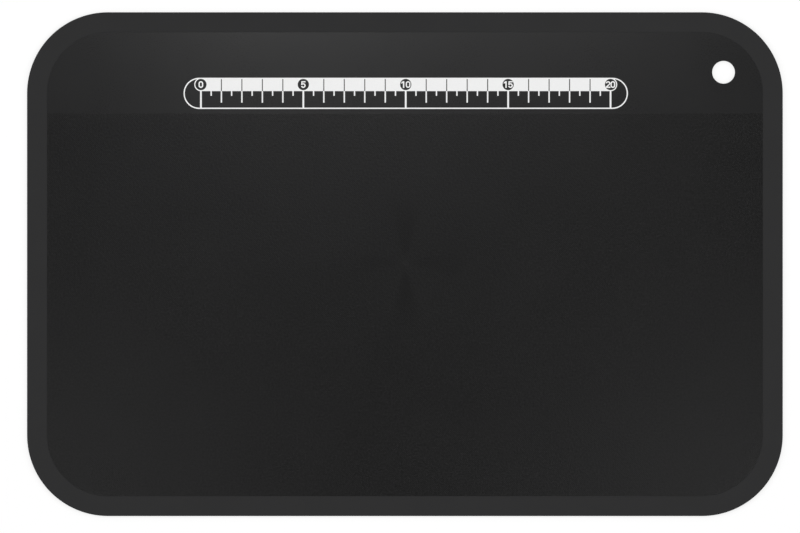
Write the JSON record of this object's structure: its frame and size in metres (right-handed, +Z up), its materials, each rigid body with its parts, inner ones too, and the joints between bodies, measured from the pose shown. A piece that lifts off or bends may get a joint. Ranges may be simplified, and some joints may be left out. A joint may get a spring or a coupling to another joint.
{
  "type": "flexible cutting mat",
  "caption": "Thin flexible cutting mat with rounded corners, a raised rim, a hanging hole and a printed centimetre scale; it curls up into a chute.",
  "frame": {"origin": "middle of the underside, on the counter", "axes": "+X along the long side, to the right as the numbers are read; +Y to the side with the scale and the hole; +Z up, out of the cutting face"},
  "size_m": [0.369, 0.246, 0.002],
  "materials": {
    "sheet": "matte black elastomer, finely embossed on the cutting field and smoother round the scale",
    "print": "flat white screen print"
  },
  "bodies": {
    "middle_strip": {"middle_strip": "sheet"},
    "near_strip_1": {"near_strip_1": "sheet"},
    "near_strip_2": {"near_strip_2": "sheet"},
    "near_strip_3": {"near_strip_3": "sheet"},
    "near_strip_4": {"near_strip_4": "sheet"},
    "near_strip_5": {"near_strip_5": "sheet"},
    "near_strip_6": {"near_strip_6": "sheet"},
    "near_strip_7": {"near_strip_7": "sheet"},
    "near_strip_8": {"near_strip_8": "sheet"},
    "near_strip_9": {"near_strip_9": "sheet"},
    "near_strip_10": {"near_strip_10": "sheet"},
    "near_strip_11": {"near_strip_11": "sheet"},
    "near_strip_12": {"near_strip_12": "sheet"},
    "near_strip_13": {"near_strip_13": "sheet"},
    "near_strip_14": {"near_strip_14": "sheet"},
    "near_strip_15": {"near_strip_15": "sheet"},
    "near_strip_16": {"near_strip_16": "sheet"},
    "near_strip_17": {"near_strip_17": "sheet"},
    "near_strip_18": {"near_strip_18": "sheet"},
    "far_strip_1": {"far_strip_1": "sheet"},
    "far_strip_2": {"far_strip_2": "sheet"},
    "far_strip_3": {"far_strip_3": "sheet"},
    "far_strip_4": {"far_strip_4": "sheet"},
    "far_strip_5": {"far_strip_5": "sheet"},
    "far_strip_6": {"far_strip_6": "sheet"},
    "far_strip_7": {"far_strip_7": "sheet"},
    "far_strip_8": {"far_strip_8": "sheet"},
    "far_strip_9": {"far_strip_9": "sheet"},
    "far_strip_10": {"far_strip_10": "sheet"},
    "ruler_strip": {"ruler_strip": "sheet", "scale_outline": "print", "scale_band": "print", "number_rings": "print", "numbers": "print", "five_cm_marks": "print", "cm_ticks": "print", "half_cm_ticks": "print"},
    "edge_strip_1": {"edge_strip_1": "sheet"},
    "edge_strip_2": {"edge_strip_2": "sheet"},
    "edge_strip_3": {"edge_strip_3": "sheet"}
  },
  "joints": [
    {"name": "near_curl", "type": "hinge", "parent": "middle_strip", "child": "near_strip_1", "pos_m": [0, -0.00325, 0.001], "axis": [-1, 0, 0], "range_deg": [0, 5], "stiffness_Nm_per_rad": 33.3},
    {"name": "near_curl_bend_2", "type": "hinge", "parent": "near_strip_1", "child": "near_strip_2", "pos_m": [0, -0.0099, 0.001], "axis": [-1, 0, 0], "range_deg": [0, 5]},
    {"name": "near_curl_bend_3", "type": "hinge", "parent": "near_strip_2", "child": "near_strip_3", "pos_m": [0, -0.01656, 0.001], "axis": [-1, 0, 0], "range_deg": [0, 5]},
    {"name": "near_curl_bend_4", "type": "hinge", "parent": "near_strip_3", "child": "near_strip_4", "pos_m": [0, -0.02321, 0.001], "axis": [-1, 0, 0], "range_deg": [0, 5]},
    {"name": "near_curl_bend_5", "type": "hinge", "parent": "near_strip_4", "child": "near_strip_5", "pos_m": [0, -0.02986, 0.001], "axis": [-1, 0, 0], "range_deg": [0, 5]},
    {"name": "near_curl_bend_6", "type": "hinge", "parent": "near_strip_5", "child": "near_strip_6", "pos_m": [0, -0.03651, 0.001], "axis": [-1, 0, 0], "range_deg": [0, 5]},
    {"name": "near_curl_bend_7", "type": "hinge", "parent": "near_strip_6", "child": "near_strip_7", "pos_m": [0, -0.04317, 0.001], "axis": [-1, 0, 0], "range_deg": [0, 5]},
    {"name": "near_curl_bend_8", "type": "hinge", "parent": "near_strip_7", "child": "near_strip_8", "pos_m": [0, -0.04982, 0.001], "axis": [-1, 0, 0], "range_deg": [0, 5]},
    {"name": "near_curl_bend_9", "type": "hinge", "parent": "near_strip_8", "child": "near_strip_9", "pos_m": [0, -0.05647, 0.001], "axis": [-1, 0, 0], "range_deg": [0, 5]},
    {"name": "near_curl_bend_10", "type": "hinge", "parent": "near_strip_9", "child": "near_strip_10", "pos_m": [0, -0.06313, 0.001], "axis": [-1, 0, 0], "range_deg": [0, 5]},
    {"name": "near_curl_bend_11", "type": "hinge", "parent": "near_strip_10", "child": "near_strip_11", "pos_m": [0, -0.06978, 0.001], "axis": [-1, 0, 0], "range_deg": [0, 5]},
    {"name": "near_curl_bend_12", "type": "hinge", "parent": "near_strip_11", "child": "near_strip_12", "pos_m": [0, -0.07643, 0.001], "axis": [-1, 0, 0], "range_deg": [0, 5]},
    {"name": "near_curl_bend_13", "type": "hinge", "parent": "near_strip_12", "child": "near_strip_13", "pos_m": [0, -0.08308, 0.001], "axis": [-1, 0, 0], "range_deg": [0, 5]},
    {"name": "near_curl_bend_14", "type": "hinge", "parent": "near_strip_13", "child": "near_strip_14", "pos_m": [0, -0.08974, 0.001], "axis": [-1, 0, 0], "range_deg": [0, 5]},
    {"name": "near_curl_bend_15", "type": "hinge", "parent": "near_strip_14", "child": "near_strip_15", "pos_m": [0, -0.09639, 0.001], "axis": [-1, 0, 0], "range_deg": [0, 5]},
    {"name": "near_curl_bend_16", "type": "hinge", "parent": "near_strip_15", "child": "near_strip_16", "pos_m": [0, -0.10304, 0.001], "axis": [-1, 0, 0], "range_deg": [0, 5]},
    {"name": "near_curl_bend_17", "type": "hinge", "parent": "near_strip_16", "child": "near_strip_17", "pos_m": [0, -0.10969, 0.001], "axis": [-1, 0, 0], "range_deg": [0, 5]},
    {"name": "near_curl_bend_18", "type": "hinge", "parent": "near_strip_17", "child": "near_strip_18", "pos_m": [0, -0.11635, 0.001], "axis": [-1, 0, 0], "range_deg": [0, 5]},
    {"name": "far_curl", "type": "hinge", "parent": "middle_strip", "child": "far_strip_1", "pos_m": [0, 0.00325, 0.001], "axis": [1, 0, 0], "range_deg": [0, 5.8], "stiffness_Nm_per_rad": 25.7},
    {"name": "far_curl_bend_2", "type": "hinge", "parent": "far_strip_1", "child": "far_strip_2", "pos_m": [0, 0.01016, 0.001], "axis": [1, 0, 0], "range_deg": [0, 5.8]},
    {"name": "far_curl_bend_3", "type": "hinge", "parent": "far_strip_2", "child": "far_strip_3", "pos_m": [0, 0.01706, 0.001], "axis": [1, 0, 0], "range_deg": [0, 5.8]},
    {"name": "far_curl_bend_4", "type": "hinge", "parent": "far_strip_3", "child": "far_strip_4", "pos_m": [0, 0.02397, 0.001], "axis": [1, 0, 0], "range_deg": [0, 5.8]},
    {"name": "far_curl_bend_5", "type": "hinge", "parent": "far_strip_4", "child": "far_strip_5", "pos_m": [0, 0.03087, 0.001], "axis": [1, 0, 0], "range_deg": [0, 5.8]},
    {"name": "far_curl_bend_6", "type": "hinge", "parent": "far_strip_5", "child": "far_strip_6", "pos_m": [0, 0.03778, 0.001], "axis": [1, 0, 0], "range_deg": [0, 5.8]},
    {"name": "far_curl_bend_7", "type": "hinge", "parent": "far_strip_6", "child": "far_strip_7", "pos_m": [0, 0.04468, 0.001], "axis": [1, 0, 0], "range_deg": [0, 5.8]},
    {"name": "far_curl_bend_8", "type": "hinge", "parent": "far_strip_7", "child": "far_strip_8", "pos_m": [0, 0.05158, 0.001], "axis": [1, 0, 0], "range_deg": [0, 5.8]},
    {"name": "far_curl_bend_9", "type": "hinge", "parent": "far_strip_8", "child": "far_strip_9", "pos_m": [0, 0.05849, 0.001], "axis": [1, 0, 0], "range_deg": [0, 5.8]},
    {"name": "far_curl_bend_10", "type": "hinge", "parent": "far_strip_9", "child": "far_strip_10", "pos_m": [0, 0.06539, 0.001], "axis": [1, 0, 0], "range_deg": [0, 6.96]},
    {"name": "far_curl_bend_11", "type": "hinge", "parent": "far_strip_10", "child": "ruler_strip", "pos_m": [0, 0.0723, 0.001], "axis": [1, 0, 0], "range_deg": [0, 9.28]},
    {"name": "far_curl_bend_12", "type": "hinge", "parent": "ruler_strip", "child": "edge_strip_1", "pos_m": [0, 0.10315, 0.001], "axis": [1, 0, 0], "range_deg": [0, 8.7]},
    {"name": "far_curl_bend_13", "type": "hinge", "parent": "edge_strip_1", "child": "edge_strip_2", "pos_m": [0, 0.10977, 0.001], "axis": [1, 0, 0], "range_deg": [0, 6.96]},
    {"name": "far_curl_bend_14", "type": "hinge", "parent": "edge_strip_2", "child": "edge_strip_3", "pos_m": [0, 0.11638, 0.001], "axis": [1, 0, 0], "range_deg": [0, 5.8]}
  ],
  "couplings": [
    {"joint": "near_curl_bend_2", "follows": "near_curl", "ratio": 1},
    {"joint": "near_curl_bend_3", "follows": "near_curl", "ratio": 1},
    {"joint": "near_curl_bend_4", "follows": "near_curl", "ratio": 1},
    {"joint": "near_curl_bend_5", "follows": "near_curl", "ratio": 1},
    {"joint": "near_curl_bend_6", "follows": "near_curl", "ratio": 1},
    {"joint": "near_curl_bend_7", "follows": "near_curl", "ratio": 1},
    {"joint": "near_curl_bend_8", "follows": "near_curl", "ratio": 1},
    {"joint": "near_curl_bend_9", "follows": "near_curl", "ratio": 1},
    {"joint": "near_curl_bend_10", "follows": "near_curl", "ratio": 1},
    {"joint": "near_curl_bend_11", "follows": "near_curl", "ratio": 1},
    {"joint": "near_curl_bend_12", "follows": "near_curl", "ratio": 1},
    {"joint": "near_curl_bend_13", "follows": "near_curl", "ratio": 1},
    {"joint": "near_curl_bend_14", "follows": "near_curl", "ratio": 1},
    {"joint": "near_curl_bend_15", "follows": "near_curl", "ratio": 1},
    {"joint": "near_curl_bend_16", "follows": "near_curl", "ratio": 1},
    {"joint": "near_curl_bend_17", "follows": "near_curl", "ratio": 1},
    {"joint": "near_curl_bend_18", "follows": "near_curl", "ratio": 1},
    {"joint": "far_curl_bend_2", "follows": "far_curl", "ratio": 1},
    {"joint": "far_curl_bend_3", "follows": "far_curl", "ratio": 1},
    {"joint": "far_curl_bend_4", "follows": "far_curl", "ratio": 1},
    {"joint": "far_curl_bend_5", "follows": "far_curl", "ratio": 1},
    {"joint": "far_curl_bend_6", "follows": "far_curl", "ratio": 1},
    {"joint": "far_curl_bend_7", "follows": "far_curl", "ratio": 1},
    {"joint": "far_curl_bend_8", "follows": "far_curl", "ratio": 1},
    {"joint": "far_curl_bend_9", "follows": "far_curl", "ratio": 1},
    {"joint": "far_curl_bend_10", "follows": "far_curl", "ratio": 1.2},
    {"joint": "far_curl_bend_11", "follows": "far_curl", "ratio": 1.6},
    {"joint": "far_curl_bend_12", "follows": "far_curl", "ratio": 1.5},
    {"joint": "far_curl_bend_13", "follows": "far_curl", "ratio": 1.2},
    {"joint": "far_curl_bend_14", "follows": "far_curl", "ratio": 1}
  ]
}
